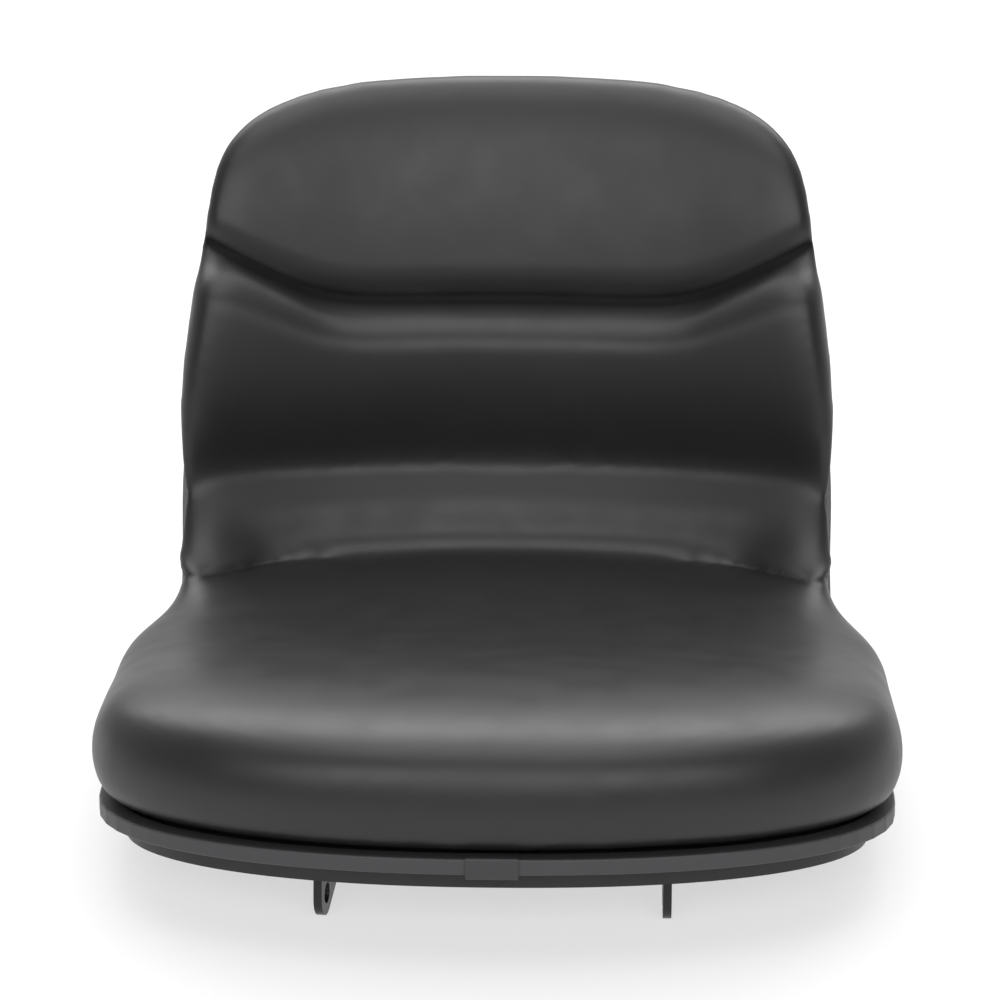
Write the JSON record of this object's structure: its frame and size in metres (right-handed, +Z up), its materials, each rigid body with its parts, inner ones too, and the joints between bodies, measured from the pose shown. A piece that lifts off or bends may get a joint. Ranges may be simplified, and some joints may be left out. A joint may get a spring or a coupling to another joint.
{
  "type": "tractor seat",
  "caption": "Black vinyl bucket seat with winged lumbar panel and rolled seat pad on a stamped steel pan, with edge trim and pivot ears under its front.",
  "frame": {"origin": "middle of the pivot line through the two ears", "axes": "+X along the pivot line, to the right of someone who faces the seat; +Y towards the backrest; +Z up with the seat resting on its ears and on the rear of its pan"},
  "size_m": [0.4836, 0.5582, 0.3847],
  "materials": {
    "vinyl": "black grained vinyl over moulded foam, satin",
    "pan_paint": "black paint on pressed sheet steel, satin",
    "trim_plastic": "dark grey soft PVC channel",
    "clip_plastic": "dark grey moulded plastic",
    "bracket_paint": "black paint on folded steel plate",
    "zinc": "bright zinc plate",
    "nut_steel": "plain steel, welded"
  },
  "bodies": {
    "root": {"cushion": "vinyl", "seat_pan": "pan_paint", "edge_trim": "trim_plastic", "trim_joint_clip": "clip_plastic", "left_pivot_bracket": "bracket_paint", "right_pivot_bracket": "bracket_paint", "bracket_bolts": "zinc", "bracket_washers": "zinc", "bracket_spring_washers": "zinc", "pan_weld_nuts": "nut_steel"}
  },
  "joints": []
}
